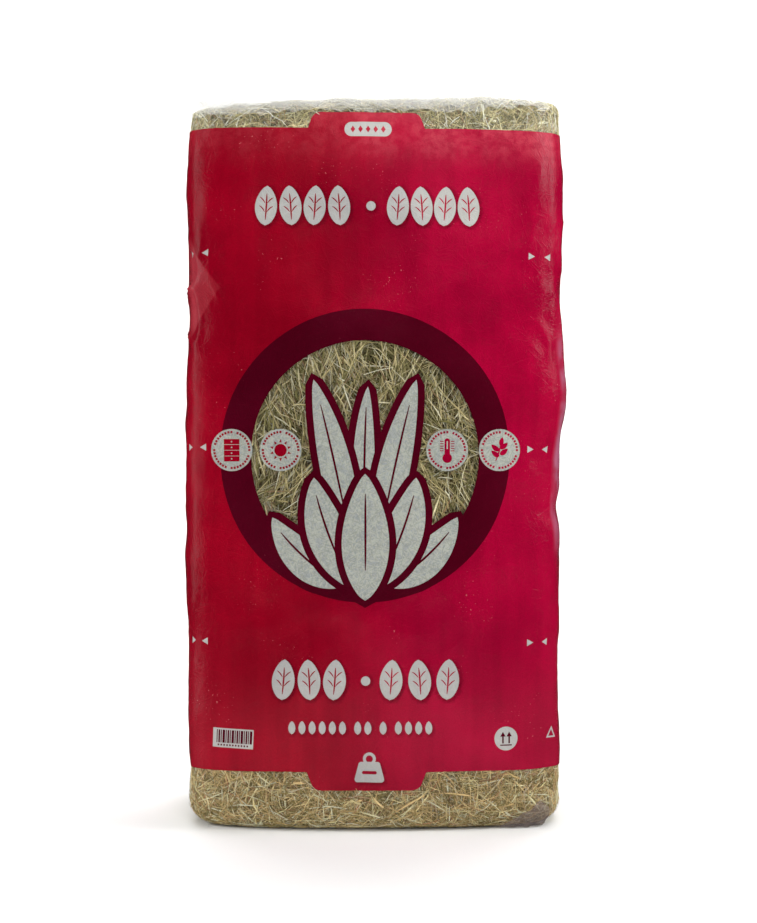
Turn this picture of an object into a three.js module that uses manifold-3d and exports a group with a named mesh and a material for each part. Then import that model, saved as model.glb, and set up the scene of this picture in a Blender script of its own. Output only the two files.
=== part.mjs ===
// A square hay bale for small animals: four pressed portions of hay, one on another, held
// in a gusseted tube of clear polyethylene film that is printed round its middle and
// welded shut at both ends. Millimetres, +Z up, +Y to the back, origin under the bale's
// middle on the surface that it stands on.
import * as THREE from 'three';
import { mergeVertices } from 'three/addons/utils/BufferGeometryUtils.js';
import Module from 'manifold-3d';

const wasm = await Module();
wasm.setup();

// Driving dimensions of the bale as it stands in its film.
const BALE_WIDTH = 390; // X, over the widest ring of film
const BALE_DEPTH = 268; // Y, over the widest ring of film
const FILM_HEIGHT = 743; // Z, from the resting face to the top film
const TOTAL_HEIGHT = 756; // Z, to the top edge of the welded fin
const PORTION_COUNT = 4; // pressed portions in the stack

// How the pressed hay fills the film.
const SQUARENESS = 8; // exponent of the plan outline: 2 is an ellipse, more is squarer
const OUTLINE_SEGMENTS = 40;
const BOTTOM_EDGE_RADIUS = 20; // round of the edges that the bale stands within
const TOP_EDGE_RADIUS = 12;
const PORTION_EDGE_RADIUS = 10; // round where one portion meets the next
const BARREL = 2; // how far the ends draw in from the widest ring
const WAIST = 1.5; // how far the film draws in where two portions meet
const EDGE_STEPS = 3; // rings in one rounded edge
const RINGS_PER_PORTION = 4;

// Film and welds. The film is thinner in life, and these are the least that holds as a solid.
const SLEEVE_WALL = 0.8;
const END_WALL = 1.8; // the folded ends are several layers of film
const GAP = 0.3; // clearance between neighbouring solids
const FOLD_INSET = 14; // height of the end closures, from the resting face or the top
const FIN_THICKNESS = 0.8;
const TOP_FIN_LENGTH = 350;
const TOP_FIN_LEAN = 14; // how far the standing fin leans towards the back
const BOTTOM_FIN_LENGTH = 306;
const BOTTOM_FIN_WIDTH = 20;

const HALF_WIDTH = BALE_WIDTH / 2;
const HALF_DEPTH = BALE_DEPTH / 2;
const PORTION_PITCH = FILM_HEIGHT / PORTION_COUNT;
const RING_PITCH = PORTION_PITCH / RINGS_PER_PORTION;

const MATERIALS = {
  hay: { color: 0xa3936a, roughness: 0.9, metalness: 0 },
  printed_film: { color: 0xa40f2f, roughness: 0.35, metalness: 0 },
  clear_film: {
    color: 0xe4e4dc, roughness: 0.25, metalness: 0, transparent: true, opacity: 0.3,
  },
};

// Plan outline of the bale at its widest: a rectangle with soft corners and full sides.
function planOutline() {
  const bulge = (value) => Math.sign(value) * Math.abs(value) ** (2 / SQUARENESS);
  const points = [];
  for (let i = 0; i < OUTLINE_SEGMENTS; i += 1) {
    const angle = (i / OUTLINE_SEGMENTS) * 2 * Math.PI;
    const x = HALF_WIDTH * bulge(Math.cos(angle));
    const y = HALF_DEPTH * bulge(Math.sin(angle));
    points.push(new THREE.Vector2(x, y));
  }
  return new THREE.Shape(points);
}

// How far the film's outside draws in at a height, apart from the rounded edges.
function drawIn(z) {
  const barrel = BARREL * (2 * z / FILM_HEIGHT - 1) ** 2;
  const waist = WAIST * Math.cos(Math.PI * z / PORTION_PITCH) ** 2;
  return barrel + waist;
}

// Heights and insets of the rings of a rounded block, from its lower to its upper face.
function blockRings({ low, high, lowRadius, highRadius, inset }) {
  const rings = [];
  const addRing = (z, edgeInset) => rings.push({ z, inset: drawIn(z) + inset + edgeInset });
  for (let i = 0; i <= EDGE_STEPS; i += 1) {
    const angle = (i / EDGE_STEPS) * Math.PI / 2;
    addRing(low + lowRadius * (1 - Math.cos(angle)), lowRadius * (1 - Math.sin(angle)));
  }
  const first = Math.floor((low + lowRadius) / RING_PITCH) + 1;
  const last = Math.ceil((high - highRadius) / RING_PITCH) - 1;
  for (let i = first; i <= last; i += 1) addRing(i * RING_PITCH, 0);
  for (let i = EDGE_STEPS; i >= 0; i -= 1) {
    const angle = (i / EDGE_STEPS) * Math.PI / 2;
    addRing(high - highRadius * (1 - Math.cos(angle)), highRadius * (1 - Math.sin(angle)));
  }
  return rings;
}

// The outline extruded by one unit a ring, then each ring set at its height and drawn in.
function pressedBlock(block) {
  const rings = blockRings(block);
  const steps = rings.length - 1;
  const geometry = new THREE.ExtrudeGeometry(planOutline(), {
    depth: steps, steps, bevelEnabled: false,
  });
  const position = geometry.getAttribute('position');
  for (let i = 0; i < position.count; i += 1) {
    const ring = rings[Math.round(position.getZ(i))];
    position.setXYZ(
      i,
      position.getX(i) * (1 - ring.inset / HALF_WIDTH),
      position.getY(i) * (1 - ring.inset / HALF_DEPTH),
      ring.z,
    );
  }
  return geometry;
}

function toSolid(geometry) {
  const bare = geometry.index ? geometry.toNonIndexed() : geometry.clone();
  bare.deleteAttribute('normal');
  bare.deleteAttribute('uv');
  const merged = mergeVertices(bare, 1e-3);
  return new wasm.Manifold(new wasm.Mesh({
    numProp: 3,
    vertProperties: merged.getAttribute('position').array,
    triVerts: new Uint32Array(merged.index.array),
  }));
}

function toGeometry(solid) {
  const { vertProperties, triVerts } = solid.getMesh();
  const geometry = new THREE.BufferGeometry();
  geometry.setAttribute('position', new THREE.BufferAttribute(vertProperties, 3));
  geometry.setIndex(new THREE.BufferAttribute(triVerts, 1));
  geometry.computeVertexNormals();
  return geometry;
}

// A box solid across the whole bale between two heights.
function slab(low, high) {
  const box = new THREE.BoxGeometry(2 * BALE_WIDTH, 2 * BALE_DEPTH, high - low);
  return toSolid(box.translate(0, 0, (low + high) / 2));
}

// The whole skin of film, from its resting face to the top film.
function filmSkin() {
  const outside = {
    low: 0,
    high: FILM_HEIGHT,
    lowRadius: BOTTOM_EDGE_RADIUS,
    highRadius: TOP_EDGE_RADIUS,
    inset: 0,
  };
  const inside = {
    low: END_WALL,
    high: FILM_HEIGHT - END_WALL,
    lowRadius: BOTTOM_EDGE_RADIUS - END_WALL,
    highRadius: TOP_EDGE_RADIUS - END_WALL,
    inset: SLEEVE_WALL,
  };
  return toSolid(pressedBlock(outside)).subtract(toSolid(pressedBlock(inside)));
}

// One pressed portion, counted from the bottom. The outer ones fill the film's round edges.
function portionGeometry(index) {
  const stackLow = END_WALL + GAP;
  const pitch = (FILM_HEIGHT - 2 * stackLow + GAP) / PORTION_COUNT;
  const low = stackLow + index * pitch;
  const isLowest = index === 0;
  const isHighest = index === PORTION_COUNT - 1;
  return pressedBlock({
    low,
    high: low + pitch - GAP,
    lowRadius: isLowest ? BOTTOM_EDGE_RADIUS - stackLow : PORTION_EDGE_RADIUS,
    highRadius: isHighest ? TOP_EDGE_RADIUS - stackLow : PORTION_EDGE_RADIUS,
    inset: SLEEVE_WALL + GAP,
  });
}

// The upper weld stands on the top film and leans back, as a strip along the bale's width.
function topFinGeometry() {
  const foot = FILM_HEIGHT + GAP;
  const profile = new THREE.Shape([
    new THREE.Vector2(0, foot),
    new THREE.Vector2(FIN_THICKNESS, foot),
    new THREE.Vector2(TOP_FIN_LEAN + FIN_THICKNESS, TOTAL_HEIGHT),
    new THREE.Vector2(TOP_FIN_LEAN, TOTAL_HEIGHT),
  ]);
  const strip = new THREE.ExtrudeGeometry(profile, {
    depth: TOP_FIN_LENGTH, bevelEnabled: false,
  });
  return strip.translate(0, 0, -TOP_FIN_LENGTH / 2);
}

// The lower weld is folded flat, flush with the resting face.
function bottomFinGeometry(margin) {
  return new THREE.BoxGeometry(
    BOTTOM_FIN_LENGTH + 2 * margin,
    BOTTOM_FIN_WIDTH + 2 * margin,
    FIN_THICKNESS + margin,
  ).translate(0, 0, (FIN_THICKNESS + margin) / 2);
}

function addPart(group, name, geometry, material) {
  const mesh = new THREE.Mesh(geometry, new THREE.MeshStandardMaterial(MATERIALS[material]));
  mesh.name = name;
  group.add(mesh);
  return mesh;
}

function hayStack() {
  const stack = new THREE.Group();
  for (let i = 0; i < PORTION_COUNT; i += 1) {
    addPart(stack, `hay_portion_${i + 1}`, portionGeometry(i), 'hay');
  }
  return stack;
}

function filmBag() {
  const bag = new THREE.Group();
  const skin = filmSkin();
  const finRecess = toSolid(bottomFinGeometry(GAP).translate(0, 0, -GAP))
    .add(toSolid(bottomFinGeometry(GAP)));
  const sleeve = skin.intersect(slab(FOLD_INSET, FILM_HEIGHT - FOLD_INSET));
  const bottom = skin.intersect(slab(-1, FOLD_INSET - GAP)).subtract(finRecess);
  const top = skin.intersect(slab(FILM_HEIGHT - FOLD_INSET + GAP, FILM_HEIGHT + 1));
  addPart(bag, 'film_sleeve', toGeometry(sleeve), 'printed_film');
  addPart(bag, 'bottom_end_film', toGeometry(bottom), 'clear_film');
  addPart(bag, 'top_end_film', toGeometry(top), 'clear_film');
  addPart(bag, 'bottom_weld_fin', bottomFinGeometry(0), 'clear_film');
  // The fin's profile is drawn in Y and Z and extruded along X.
  const profileToSide = new THREE.Vector3(1, 1, 1).normalize();
  addPart(bag, 'top_weld_fin', topFinGeometry(), 'clear_film')
    .quaternion.setFromAxisAngle(profileToSide, 2 * Math.PI / 3);
  return bag;
}

const bale = new THREE.Group();
bale.add(hayStack(), filmBag());

export default bale;
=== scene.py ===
"""Looks for a square hay bale: pressed hay in a clear film bag with a printed sleeve.

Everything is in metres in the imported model's frame: +Z up, +X to the right and +Y away from
the printed front, with the origin under the middle of the bale. The film is unrolled into two
lengths: s runs round the bale from the middle of the front, and v runs up it, over both edges.
"""
import math

import bpy
import numpy as np
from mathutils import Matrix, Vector, kdtree
from mathutils.geometry import delaunay_2d_cdt


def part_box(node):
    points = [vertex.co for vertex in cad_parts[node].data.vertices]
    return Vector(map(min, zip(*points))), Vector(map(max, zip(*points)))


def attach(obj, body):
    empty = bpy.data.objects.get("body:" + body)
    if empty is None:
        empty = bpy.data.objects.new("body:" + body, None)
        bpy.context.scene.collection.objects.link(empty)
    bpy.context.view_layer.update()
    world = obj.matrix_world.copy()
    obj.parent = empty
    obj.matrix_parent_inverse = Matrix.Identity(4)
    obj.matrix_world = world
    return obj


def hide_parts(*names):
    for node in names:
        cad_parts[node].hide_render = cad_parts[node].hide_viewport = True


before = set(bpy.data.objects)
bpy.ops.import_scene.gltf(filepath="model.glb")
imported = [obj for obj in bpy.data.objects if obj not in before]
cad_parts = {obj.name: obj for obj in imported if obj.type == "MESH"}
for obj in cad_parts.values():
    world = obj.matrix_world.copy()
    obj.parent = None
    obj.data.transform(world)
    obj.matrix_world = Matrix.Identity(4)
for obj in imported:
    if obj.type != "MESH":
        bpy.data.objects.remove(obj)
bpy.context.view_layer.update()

# Outer shape of the film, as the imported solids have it.
SLEEVE_LOW, SLEEVE_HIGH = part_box("film_sleeve")
HALF_WIDTH = (SLEEVE_HIGH.x - SLEEVE_LOW.x) / 2
HALF_DEPTH = (SLEEVE_HIGH.y - SLEEVE_LOW.y) / 2
FILM_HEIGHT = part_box("top_end_film")[1].z
PORTIONS = 4
PORTION_PITCH = FILM_HEIGHT / PORTIONS
SQUARENESS = 8
BOTTOM_RADIUS = 0.020
TOP_RADIUS = 0.012
BARREL = 0.0020
WAIST = 0.0015

# Unrolled film: v at the two ends of the tube, where the end faces begin.
V_LOW = BOTTOM_RADIUS * (1 - math.pi / 2)
V_HIGH = FILM_HEIGHT - TOP_RADIUS * (1 - math.pi / 2)

# Camera, at the photographed viewing angle: level, at half the bale's height.
FRONT_DISTANCE = 1.90
CAMERA_HEIGHT = 0.3746
CAMERA_SIDE = 0.0046
LENS = 73.5


# ---------------------------------------------------------------- shape of the bale

def unit(vectors):
    """Vectors scaled to a length of one."""
    return vectors / np.maximum(np.linalg.norm(vectors, axis=-1, keepdims=True), 1e-15)


def outline_table():
    """Lengths round the plan outline and its points, from the middle of the front."""
    angle = np.linspace(-math.pi / 2, 3 * math.pi / 2, 8001)
    across, back = np.cos(angle), np.sin(angle)
    power = abs(across / HALF_WIDTH) ** SQUARENESS + abs(back / HALF_DEPTH) ** SQUARENESS
    points = np.stack([across, back], 1) / power[:, None] ** (1 / SQUARENESS)
    steps = np.linalg.norm(np.diff(points, axis=0), axis=1)
    return np.concatenate([[0], np.cumsum(steps)]), points


ARC, OUTLINE = outline_table()
PERIMETER = float(ARC[-1])
HALF_TURN = PERIMETER / 2


def smoothstep(value, low, high):
    t = np.clip((value - low) / (high - low), 0, 1)
    return t * t * (3 - 2 * t)


def draw_in(z):
    """How far the film draws in at a height, apart from its rounded edges."""
    barrel = BARREL * (2 * z / FILM_HEIGHT - 1) ** 2
    return barrel + WAIST * np.cos(math.pi * z / PORTION_PITCH) ** 2


def film_surface(s, v):
    """Points of the smooth film at unrolled places."""
    s, v = np.asarray(s, float), np.asarray(v, float)
    bottom = np.clip((BOTTOM_RADIUS - v) / BOTTOM_RADIUS, 0, math.pi / 2)
    top = np.clip((v - (FILM_HEIGHT - TOP_RADIUS)) / TOP_RADIUS, 0, math.pi / 2)
    z = np.clip(v, BOTTOM_RADIUS, FILM_HEIGHT - TOP_RADIUS)
    z = z - BOTTOM_RADIUS * np.sin(bottom) + TOP_RADIUS * np.sin(top)
    inset = draw_in(z) + BOTTOM_RADIUS * (1 - np.cos(bottom)) + TOP_RADIUS * (1 - np.cos(top))
    x = np.interp(s % PERIMETER, ARC, OUTLINE[:, 0]) * (1 - inset / HALF_WIDTH)
    y = np.interp(s % PERIMETER, ARC, OUTLINE[:, 1]) * (1 - inset / HALF_DEPTH)
    return np.stack([x, y, z], -1)


def depth_inside(p):
    """How deep points lie inside the smooth film."""
    x, y, z = abs(p[..., 0]), abs(p[..., 1]), p[..., 2]
    wide, deep = (x / HALF_WIDTH) ** SQUARENESS, (y / HALF_DEPTH) ** SQUARENESS
    power = np.maximum(wide + deep, 1e-12)
    steep = (wide / HALF_WIDTH + deep / HALF_DEPTH) / power
    inset = (1 - power ** (1 / SQUARENESS)) / steep - draw_in(z)
    depth = inset
    for height, radius in ((z, BOTTOM_RADIUS), (FILM_HEIGHT - z, TOP_RADIUS)):
        in_corner = radius - np.hypot(radius - inset, radius - height)
        near = np.where(inset < radius, in_corner, height)
        depth = np.where(height < radius, near, depth)
    return depth


def outward(p):
    """Unit normals of the smooth film nearest to points."""
    step = 1e-4
    slopes = []
    for axis in range(3):
        shift = np.zeros(3)
        shift[axis] = step
        slopes.append(depth_inside(p - shift) - depth_inside(p + shift))
    return unit(np.stack(slopes, -1))


def settle(p):
    """Moves points along the normals until they lie on the smooth film."""
    for _ in range(3):
        p = p + outward(p) * depth_inside(p)[..., None]
    return p


# ---------------------------------------------------------------- swelling of the film

WAVES = 28  # in one random field


def ripples(seed, wavelength, stretch=(1, 1, 1)):
    """A smooth random field of points, of about unit size, from waves in random directions."""
    rng = np.random.default_rng(seed)
    directions = unit(rng.normal(size=(WAVES, 3)))
    lengths = wavelength * rng.uniform(0.75, 1.5, (WAVES, 1))
    vectors = 2 * math.pi / lengths * directions / np.array(stretch)
    phases = rng.uniform(0, 2 * math.pi, WAVES)

    def field(p):
        total = np.zeros(p.shape[:-1])
        for vector, phase in zip(vectors, phases):
            total += np.cos(p @ vector + phase)
        return total * math.sqrt(2 / WAVES)

    return field


BROAD = ripples(11, 0.17)
MIDDLE = ripples(12, 0.052)
SMALL = ripples(13, 0.019)
LUMPS = ripples(14, 0.0095)
PLEATS = ripples(15, 0.030, stretch=(1, 1, 9))
CREASES = ripples(16, 0.040, stretch=(1, 1, 2))
# Size of each field all over, and how much more it has where the film is bare.
SWELLS = (
    (BROAD, 0.0011, 0), (MIDDLE, 0.00055, 0), (SMALL, 0.00016, 0.00022), (LUMPS, 0.00006, 0.00022),
)
PLEAT, PLEAT_REACH = 0.0007, 0.045  # upright pleats, and how soon they fade from the ends

# Where the film stands off or pulls in at the two upright edges: side, height, reach, size.
EDGE_BULGES = (
    (1, 0.442, 0.040, 0.0055),
    (1, 0.327, 0.014, -0.0030),
    (1, 0.630, 0.110, 0.0050),
    (-1, 0.375, 0.055, 0.0020),
    (-1, 0.250, 0.060, 0.0035),
    (-1, 0.560, 0.030, 0.0030),
    (-1, 0.700, 0.030, 0.0015),
)
# Where the film is crumpled beside the upright edges: across, height, reach, size.
CRUMPLES = (
    (-0.180, 0.560, 0.034, 0.0055), (-0.186, 0.500, 0.020, 0.0030),
    (0.180, 0.590, 0.045, 0.0030), (0.170, 0.500, 0.030, 0.0030),
)
PUFF = (0.0025, 0.0030)  # how far the film stands up round the top, and more at the right
CROWN = 0.014  # how far the front falls back at CROWN_REACH from its middle
CROWN_REACH = 0.148
TURN_LOW, TURN_HIGH = 0.003, 0.011  # how much more it does on the right, at foot and top
SHOULDER = 0.0035  # how far the last of the film draws in below the top
CLEAR_LOW, CLEAR_HIGH = 0.060, 0.711  # heights between which the film is printed


def film_swell(p):
    """How far the real film stands outside the smooth one at points."""
    x, y, z = p[..., 0], p[..., 1], p[..., 2]
    from_end = np.minimum(z, FILM_HEIGHT - z)
    bare = 1 - smoothstep(z, CLEAR_LOW - 0.01, CLEAR_LOW)
    bare = bare + smoothstep(z, CLEAR_HIGH, CLEAR_HIGH + 0.01)
    swell = sum((size + more * bare) * field(p) for field, size, more in SWELLS)
    pleats = PLEATS(p)
    swell += PLEAT * pleats * np.exp(-from_end / PLEAT_REACH)
    for side, height, reach, size in EDGE_BULGES:
        at_edge = smoothstep(side * x, 0.13, 0.185)
        swell += size * at_edge * np.exp(-((z - height) / reach) ** 2)
    corners = smoothstep(abs(y) / HALF_DEPTH, 0.50, 0.80)
    for across, height, reach, size in CRUMPLES:
        near = corners * np.exp(-((x - across) ** 2 + (z - height) ** 2) / reach ** 2)
        swell += size * near * (np.clip(1 - abs(CREASES(p)), 0, 1) ** 2 - 0.25)
    broad_face = smoothstep(abs(y) / HALF_DEPTH, 0.75, 0.95)
    upper = smoothstep(z, 0.690, 0.735) * smoothstep(FILM_HEIGHT - z, -0.002, 0.008)
    swell -= SHOULDER * broad_face * upper * (1 + 0.35 * pleats)
    swell += (PUFF[0] + PUFF[1] * smoothstep(x, -0.05, 0.17)) * smoothstep(z, 0.730, 0.742)
    # The base stays flat and never goes under the resting face.
    return swell * smoothstep(z, 0.0, 0.02)


def fall_back(p):
    """How far the bowed and slightly turned front lies behind the smooth one."""
    across = np.clip(p[..., 0] / CROWN_REACH, -1.2, 1.2)
    turn = TURN_LOW + (TURN_HIGH - TURN_LOW) * p[..., 2] / FILM_HEIGHT
    return (CROWN * across ** 2 + turn * across) * smoothstep(-p[..., 1] / HALF_DEPTH, 0.0, 1.0)


def laid(p, depth):
    """Points on the smooth film, moved to a depth under the real one."""
    p = p - outward(p) * (depth - film_swell(p))[..., None]
    p[..., 1] += fall_back(p)
    return p


# ---------------------------------------------------------------- outlines of the print

def circle(x, y, radius):
    count = max(16, round(2 * math.pi * radius / 0.0022))
    angle = np.arange(count) / count * 2 * math.pi
    return np.stack([x + radius * np.cos(angle), y + radius * np.sin(angle)], 1)


def polygon(*corners):
    return np.array(corners, float)


def moved(shape, x, y, turn=0.0):
    c, s = math.cos(turn), math.sin(turn)
    return shape @ np.array([[c, s], [-s, c]]) + np.array([x, y])


def grown(shape, margin):
    """An outline moved outwards along its normals."""
    ahead, behind = np.roll(shape, -1, 0), np.roll(shape, 1, 0)
    along = ahead - behind
    normals = unit(np.stack([along[:, 1], -along[:, 0]], 1))
    x, y = shape.T
    turning = np.sum(x * np.roll(y, -1) - y * np.roll(x, -1))
    return shape + math.copysign(margin, turning) * normals


def rounded(corners, radii, steps=5):
    """A polygon whose corners are rounded by arcs that touch its sides."""
    corners = np.array(corners, float)
    shape = []
    for i, (corner, radius) in enumerate(zip(corners, radii)):
        if not radius:
            shape.append(corner)
            continue
        before = unit(corners[i - 1] - corner)
        after = unit(corners[(i + 1) % len(corners)] - corner)
        half = math.acos(np.clip(before @ after, -1, 1)) / 2
        centre = corner + unit(before + after) * radius / math.sin(half)
        start = math.atan2(*(corner + before * radius / math.tan(half) - centre)[::-1])
        end = math.atan2(*(corner + after * radius / math.tan(half) - centre)[::-1])
        turn = (end - start + math.pi) % (2 * math.pi) - math.pi
        for angle in start + turn * np.linspace(0, 1, steps):
            shape.append(centre + radius * np.array([math.cos(angle), math.sin(angle)]))
    return np.array(shape)


def bar(x, y, width, height):
    w, h = width / 2, height / 2
    return polygon((x - w, y - h), (x + w, y - h), (x + w, y + h), (x - w, y + h))


def pill(x, y, width, height):
    return rounded(bar(x, y, width, height), [min(width, height) * 0.49] * 4, 9)


def bowed_line(start, bend, end, count):
    """Points and normals along a quadratic curve."""
    t = np.linspace(0, 1, count)[:, None]
    a, b, c = (np.array(q, float) for q in (start, bend, end))
    points = (1 - t) ** 2 * a + 2 * t * (1 - t) * b + t ** 2 * c
    along = unit((1 - t) * (b - a) + t * (c - b))
    return t[:, 0], points, np.stack([-along[:, 1], along[:, 0]], 1)


def blade(start, bend, end, half_width, fullness, count):
    """A leaf along a bowed line: widest near its middle and drawn to a tip."""
    t, points, sides = bowed_line(start, bend, end, count)
    reach = sides * (half_width * np.sin(math.pi * t ** 0.9) ** fullness)[:, None]
    return np.concatenate([(points - reach)[:-1], (points + reach)[1:][::-1]])


def stroke(start, bend, end, width, count=9):
    """A thin line of even width with tapered ends."""
    t, points, sides = bowed_line(start, bend, end, count)
    reach = sides * (width / 2 * (0.35 + 0.65 * np.sin(math.pi * t) ** 0.5))[:, None]
    return np.concatenate([points + reach, (points - reach)[::-1]])


# ---------------------------------------------------------------- layout of the print
# Each layer is an ink and an outline in print coordinates: across from the print's upright
# axis, and up from the resting face along the film. Later layers cover earlier ones.

AXIS_SHIFT = -0.0075  # the print sits this far left of the bale's middle
RED_LOW, RED_HIGH = 0.0606, 0.7115
RED_RISE = 0.0050  # how far the field's upper edge climbs towards the sides
RING_CENTRE = (-0.0015, 0.3804)
RING_RADIUS = 0.1481
WINDOW_RADIUS = 0.1163
TUFT_CENTRE = (-0.0015, 0.3842)
OUTLINE_WIDTH = 0.0072
BADGES_UP = 0.3862
NAME_UP = 0.7106  # of the pale oval on the upper tab

# Leaves in the words' places: first leaf across, up, count, pitch, height and half width.
LEAF_ROWS = (
    (-0.1020, 0.6330, 4, 0.0247, 0.0400, 0.0112), (0.0320, 0.6330, 4, 0.0240, 0.0400, 0.0112),
    (-0.0850, 0.1540, 3, 0.0262, 0.0410, 0.0116), (0.0250, 0.1540, 3, 0.0290, 0.0410, 0.0116),
)
DOTS = ((0.0045, 0.6325), (-0.0010, 0.1530))  # between the two rows of a line


def red_field():
    """The red field all round the bale, with a tab at the middle of its top and bottom."""
    edge = PERIMETER / 4
    left, right = -edge - AXIS_SHIFT, edge - AXIS_SHIFT
    corners = [
        (left, RED_LOW), (-0.0610, RED_LOW), (-0.0540, RED_LOW - 0.0186),
        (0.0540, RED_LOW - 0.0186), (0.0610, RED_LOW), (right, RED_LOW),
        (right, RED_HIGH + RED_RISE), (0.0600, RED_HIGH), (0.0545, RED_HIGH + 0.0168),
        (-0.0545, RED_HIGH + 0.0168), (-0.0600, RED_HIGH), (left, RED_HIGH + RED_RISE),
    ]
    return rounded(corners, [0, 0.001, 0.011, 0.011, 0.001, 0, 0, 0.001, 0.010, 0.010, 0.001, 0])


def window_outline():
    """The round window, cut off level below, where the mound stands."""
    shape = circle(*RING_CENTRE, WINDOW_RADIUS)
    shape[:, 1] = np.maximum(shape[:, 1], RING_CENTRE[1] - 0.0752)
    keep = np.linalg.norm(shape - np.roll(shape, 1, 0), axis=1) > 1e-5
    return shape[keep]


def tuft():
    """A tuft of pale leaves with dark outlines, standing in the window."""
    x, y = TUFT_CENTRE
    pairs = [
        ((0.010, -0.118), (0.028, -0.010), (0.052, 0.073), 0.0162),
        ((0.016, -0.132), (0.066, -0.120), (0.094, -0.066), 0.0180),
        ((0.008, -0.138), (0.046, -0.086), (0.052, -0.026), 0.0200),
    ]
    blades = [((0.0, -0.110), (-0.004, 0.0), (0.003, 0.066), 0.0110)]
    for foot, bend, tip, half_width in pairs:
        for side in (-1, 1):
            line = [(side * across, up) for across, up in (foot, bend, tip)]
            blades.append((*line, half_width))
    blades.append(((0.0, -0.150), (0.001, -0.090), (0.0, -0.022), 0.0240))
    layers = []
    for start, bend, end, half_width in blades:
        leaf = moved(blade(start, bend, end, half_width, 0.75, 33), x, y)
        _, line, _ = bowed_line(start, bend, end, 21)
        vein = moved(stroke(line[5], line[11], line[17], 0.0022), x, y)
        layers += [("dark", grown(leaf, OUTLINE_WIDTH)), ("pale", leaf), ("dark", vein)]
    return layers


def leaf_row(x, y, count, pitch, height, half_width):
    """A row of upright pale leaves with veins and a soft dark shadow."""
    shadows, leaves = [], []
    for i in range(count):
        lean = 0.07 if i % 2 else -0.07
        place = (x + i * pitch, y, lean)
        leaf = blade((0, -height / 2), (0, 0), (0, height / 2), half_width, 0.62, 23)
        shadows.append(("shade", moved(grown(leaf, 0.0012), place[0] + 0.0012, y - 0.0014, lean)))
        leaves.append(("white", moved(leaf, *place)))
        vein = stroke((0, -height * 0.36), (0.0006, 0), (0, height * 0.30), 0.0017)
        leaves.append(("red", moved(vein, *place)))
        for side in (-1, 1):
            for rise in (-0.16, 0.06):
                start = (side * 0.0012, height * rise)
                end = (side * half_width * 0.62, height * (rise + 0.15))
                middle = (side * half_width * 0.3, height * (rise + 0.10))
                leaves.append(("red", moved(stroke(start, middle, end, 0.0012, 5), *place)))
    return shadows + leaves


def dot(x, y):
    return [("shade", circle(x + 0.001, y - 0.0012, 0.0058)), ("white", circle(x, y, 0.0048))]


def small_marks(y):
    """One line of small leaves in four groups."""
    leaf = blade((0, -0.0068), (0, 0), (0, 0.0068), 0.0036, 0.6, 9)
    layers, x = [], -0.0760
    for count in (6, 2, 1, 4):
        for _ in range(count):
            layers.append(("shade", moved(leaf, x + 0.0008, y - 0.0009)))
            layers.append(("white", moved(leaf, x, y)))
            x += 0.0103
        x += 0.0052
    return layers


def weight_mark(x, y):
    """A plain weight with a ring handle."""
    body = rounded([(-0.0160, -0.0150), (0.0160, -0.0150), (0.0105, 0.0060), (-0.0105, 0.0060)],
                   [0.003] * 4)
    ring_y = y + 0.0090
    return [
        ("shade", moved(body, x + 0.0012, y - 0.0013)),
        ("white", circle(x, ring_y, 0.0066)), ("red", circle(x, ring_y, 0.0036)),
        ("white", moved(body, x, y)), ("red", pill(x, y - 0.0050, 0.0150, 0.0034)),
    ]


def slab_icon(x, y):
    layers = []
    for up in (-0.0087, -0.0029, 0.0029, 0.0087):
        layers.append(("red", bar(x, y + up, 0.0162, 0.0053)))
        layers.append(("pale", circle(x, y + up, 0.0008)))
    return layers


def sun_icon(x, y):
    ray = polygon((-0.0014, 0.0079), (0.0014, 0.0079), (0.0, 0.0114))
    rays = [("red", moved(ray, x, y, 2 * math.pi * i / 10)) for i in range(10)]
    return [("red", circle(x, y, 0.0064))] + rays


def thermometer_icon(x, y):
    layers = [
        ("red", circle(x, y - 0.0080, 0.0050)), ("red", pill(x, y + 0.0016, 0.0056, 0.0210)),
        ("pale", bar(x, y + 0.0052, 0.0014, 0.0080)),
    ]
    for i in range(5):
        for side in (-0.0056, 0.0056):
            layers.append(("red", bar(x + side, y - 0.0006 + i * 0.0024, 0.0036, 0.0009)))
    return layers


def sprig_icon(x, y):
    layers = [("red", moved(stroke((-0.004, -0.011), (0, -0.002), (0.002, 0.010), 0.0016), x, y))]
    for side, low in ((-1, -0.006), (1, -0.004), (-1, 0.0), (1, 0.002)):
        bend, end = (side * 0.004, low + 0.001), (side * 0.0085, low + 0.0058)
        layers.append(("red", moved(blade((0, low), bend, end, 0.0026, 0.7, 9), x, y)))
    tip = blade((0.0015, 0.004), (0.0015, 0.008), (0.003, 0.0135), 0.0024, 0.7, 9)
    return layers + [("red", moved(tip, x, y))]


def badge(x, y, icon):
    """A pale disc with a ring of short dashes and a picture."""
    layers = [("pale", circle(x, y, 0.0214))]
    dash = bar(0, 0.0182, 0.0021, 0.0023)
    for i in range(36):
        if i % 9 != 8:
            layers.append(("red", moved(dash, x, y, 2 * math.pi * i / 36)))
    return layers + icon(x, y - 0.0002)


def cut_marks():
    """Pairs of small triangles that point at each other where the portions part."""
    mark = polygon((-0.0034, -0.0036), (0.0034, 0.0), (-0.0034, 0.0036))
    layers = []
    for left, right, drop in ((-0.1845, -0.1680, 0.0), (0.1690, 0.1860, -0.0022)):
        for y, shift in ((0.1916, 0.0), (0.3892, 0.0), (0.5870, 0.0015)):
            layers.append(("white", moved(mark, left + shift, y + drop)))
            layers.append(("white", moved(mark, right + shift, y + drop, math.pi)))
    return layers


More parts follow.
